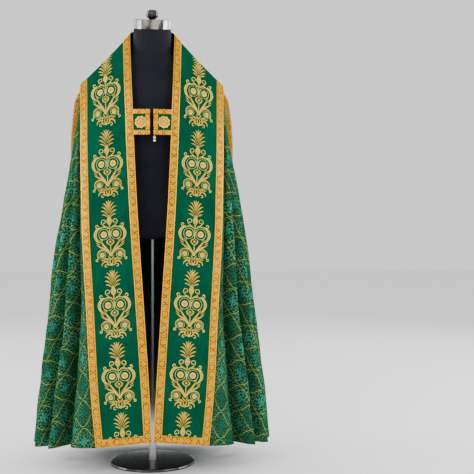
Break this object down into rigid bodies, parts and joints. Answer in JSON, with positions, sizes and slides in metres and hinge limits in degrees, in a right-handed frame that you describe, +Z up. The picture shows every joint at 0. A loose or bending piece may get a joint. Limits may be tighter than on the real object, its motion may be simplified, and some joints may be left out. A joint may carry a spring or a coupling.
{
  "type": "cope vestment on a dress form",
  "caption": "Worn-shape cope with embroidered front bands, a shield hood with fringe and a chest clasp, hung open on a limbless dress form and stand.",
  "frame": {"origin": "centre of the stand base's underside, on the floor", "axes": "+Z up, the front faces -Y, the wearer's left side is +X"},
  "size_m": [0.8596, 0.5162, 1.6149],
  "materials": {
    "brocade": "silk brocade, satin ground",
    "green_satin": "silk satin",
    "gold_braid": "metallic thread",
    "pale_gold": "metallic thread",
    "clasp_metal": "polished",
    "jersey": "matt jersey",
    "chrome": "polished",
    "black": "gloss",
    "steel": "brushed"
  },
  "bodies": {
    "root": {"body_left": "brocade", "body_right": "brocade", "body_back": "brocade", "orphrey_left": "green_satin", "orphrey_right": "green_satin", "hood": "green_satin", "morse_left": "green_satin", "morse_right": "green_satin", "galloon_inner_left": "gold_braid", "galloon_inner_right": "gold_braid", "galloon_outer_left": "gold_braid", "galloon_outer_right": "gold_braid", "galloon_hem_left": "gold_braid", "galloon_hem_right": "gold_braid", "galloon_center_back": "gold_braid", "morse_galloon_left": "gold_braid", "morse_galloon_right": "gold_braid", "morse_rosette_left": "gold_braid", "morse_rosette_right": "gold_braid", "hood_fringe": "gold_braid", "hood_braid": "pale_gold", "clasp_hook": "clasp_metal", "dress_form": "jersey", "neck_cap": "chrome", "neck_knob": "black", "pole": "steel", "stand_base": "black"}
  },
  "joints": []
}
